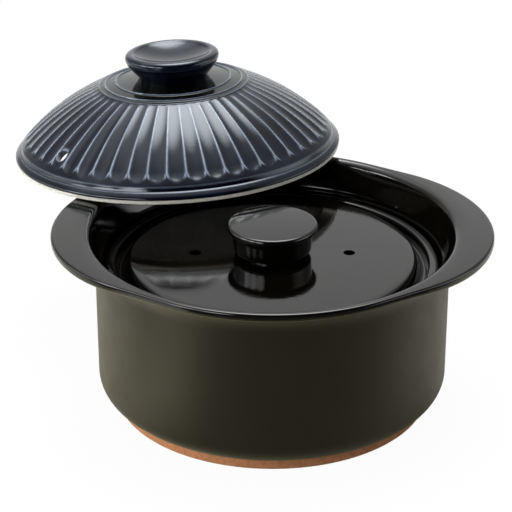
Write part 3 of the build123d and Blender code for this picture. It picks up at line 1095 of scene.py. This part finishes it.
@dataclass(frozen=True)
class Glow:
    """A soft lamp far away.

    Attributes:
        turn: Direction in degrees, from the back (0) towards the right (90).
        rise: Height above the horizon in degrees.
        strength: Brightness at its middle.
        inner: Half-width in degrees of its evenly bright middle.
        outer: Half-width in degrees at which it has faded out.
    """

    turn: float
    rise: float
    strength: float
    inner: float
    outer: float

    def way(self) -> Vector:
        """Direction towards the lamp."""
        turn, rise = math.radians(self.turn), math.radians(self.rise)
        return Vector((math.sin(turn) * math.cos(rise), math.cos(turn) * math.cos(rise), math.sin(rise)))

    def shine(self, nodes: Nodes, look: bpy.types.NodeSocket) -> bpy.types.NodeSocket:
        """Adds the lamp to the room.

        Args:
            nodes: The room's nodes.
            look: Socket of the direction that is looked in.

        Returns:
            Socket of the lamp's brightness in that direction.
        """
        dot = nodes.add("ShaderNodeVectorMath", operation="DOT_PRODUCT")
        nodes.join(look, dot.inputs[0])
        dot.inputs[1].default_value = self.way()
        faded, full = (math.cos(math.radians(half)) for half in (self.outer, self.inner))
        return nodes.span(dot.outputs["Value"], faded, full, 0.0, self.strength)


@dataclass
class Studio:
    """White table top, soft lamps and the camera.

    Attributes:
        camera_place: Place of the camera in millimetres.
        camera_pitch: Degrees that the camera looks down.
        focal_pixels: Focal length in pixels of the picture.
        picture_pixels: Width of the picture.
        room_light: Brightness of the room where nothing shines.
        white_share: Share of the table's plain white that the camera sees.
        glows: The lamps.
    """

    camera_place: tuple[float, float, float] = (-9.1, -1100.0, 615.78)
    camera_pitch: float = 25.755
    focal_pixels: float = 2183.7
    picture_pixels: float = 512
    room_light: float = 0.02
    white_share: float = 0.965
    glows: tuple[Glow, ...] = (
        Glow(4, 68, 10.5, 4, 24),
        Glow(-146, 21, 10.0, 3, 13),
        Glow(-125, 21, 12.0, 3, 13),
        Glow(-104, 21, 10.0, 3, 13),
        Glow(98, 0, 2.0, 10, 34),
        Glow(-90, 0, 1.9, 10, 34),
    )

    def aim(self) -> None:
        """Makes the camera at the photograph's viewing angle."""
        camera = bpy.data.cameras.new("camera")
        camera.sensor_width = 36
        camera.lens = 36 * self.focal_pixels / self.picture_pixels
        camera.clip_start, camera.clip_end = 0.05, 30
        holder = bpy.data.objects.new("camera", camera)
        holder.location = Vector(self.camera_place) * MM
        holder.rotation_euler = (math.radians(90 - self.camera_pitch), 0, 0)
        bpy.context.scene.collection.objects.link(holder)
        bpy.context.scene.camera = holder

    def light(self) -> None:
        """Lights the room: a bright back, a dim front and a few soft lamps."""
        world = bpy.data.worlds.new("room")
        bpy.context.scene.world = world
        world.use_nodes = True
        nodes = Nodes(world.node_tree)
        nodes.tree.nodes.clear()
        look = nodes.add("ShaderNodeTexCoord").outputs["Generated"]
        right, back, up = nodes.split(look)
        wall = nodes.span(back, -0.50, 0.22)
        panel = nodes.span(nodes.math("ABSOLUTE", right), 0.30, 0.55, 1.18, 0.55)
        left = nodes.span(right, 0.0, 0.35, 1.15, 0.1)
        sky = nodes.math("ADD", panel, nodes.math("MULTIPLY", nodes.span(up, 0.58, 0.78), left))
        total = nodes.math("ADD", nodes.math("MULTIPLY", wall, sky), self.room_light)
        for glow in self.glows:
            total = nodes.math("ADD", total, glow.shine(nodes, look))
        strength = nodes.add("ShaderNodeMix", data_type="FLOAT")
        nodes.join(nodes.add("ShaderNodeLightPath").outputs["Is Camera Ray"], strength.inputs[0])
        nodes.join(total, strength.inputs[2])
        strength.inputs[3].default_value = 1.0
        ground = nodes.add("ShaderNodeBackground")
        nodes.join(strength.outputs[0], ground.inputs["Strength"])
        nodes.join(ground.outputs[0], nodes.add("ShaderNodeOutputWorld").inputs[0])

    def lay_table(self) -> None:
        """Lays the white table top, which shows white to the camera and keeps a trace of the pot's shadow; in
        reflections and bounced light it has painted shade in front of the pot and a painted strip of light
        towards the left front.
        """
        top = bmesh.new()
        bmesh.ops.create_circle(top, cap_ends=True, segments=96, radius=6.0)
        floor = make_piece("table_top", top, [])
        nodes = Finish("white_table")
        grain = nodes.span(nodes.noise(3, 2), 0.3, 0.7)
        seen = nodes.add("ShaderNodeLightPath").outputs["Is Camera Ray"]
        right, back, _ = nodes.split(nodes.place)
        lit = nodes.blend(grain, (0.76, 0.76, 0.75), (0.80, 0.80, 0.79))
        # Painted light for all rays but the camera's: a bright strip across the table towards the left front,
        # painted in its colour.
        aside = nodes.math("ADD", nodes.math("MULTIPLY", right, 0.6), nodes.math("MULTIPLY", back, -0.8))
        painted_light_strip = nodes.span(nodes.math("ABSOLUTE", aside), 0.075, 0.02)
        painted_light_strip = nodes.math("MULTIPLY", painted_light_strip, nodes.span(right, -0.06, -0.12))
        # Painted shade for all rays but the camera's: the table is painted near-black in front of the pot and
        # grey towards the back.
        side = nodes.span(back, -0.15, 0.0, 0.02, 0.66)
        share = nodes.math("MAXIMUM", side, nodes.math("MULTIPLY", painted_light_strip, 1.2))
        # The table's colour in reflections and bounced light: painted shade mixed with painted light.
        painted_floor_light = nodes.blend(share, (0.03, 0.03, 0.028), lit)
        nodes.set(base_color=nodes.blend(seen, painted_floor_light, lit), roughness=0.9)
        white = nodes.add("ShaderNodeEmission")
        mix = nodes.add("ShaderNodeMixShader")
        nodes.join(nodes.math("MULTIPLY", seen, self.white_share), mix.inputs[0])
        nodes.join(nodes.shader.outputs[0], mix.inputs[1])
        nodes.join(white.outputs[0], mix.inputs[2])
        nodes.join(mix.outputs[0], nodes.tree.nodes["Material Output"].inputs[0])
        floor.data.materials.append(nodes.material)

    def build(self) -> None:
        """Makes the camera, the light and the table."""
        self.aim()
        self.light()
        self.lay_table()


def main() -> None:
    """Builds the studio and each piece."""
    logging.basicConfig(level=logging.INFO, format="%(name)s: %(message)s")
    bpy.context.scene.view_settings.view_transform = "Standard"
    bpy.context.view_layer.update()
    Studio().build()
    Pot().build()
    InnerLid().build()
    InnerKnob().build()
    outer_lid = OuterLid()
    outer_lid.build()
    OuterKnob(outer_lid).build()


if __name__ == "__main__":
    main()
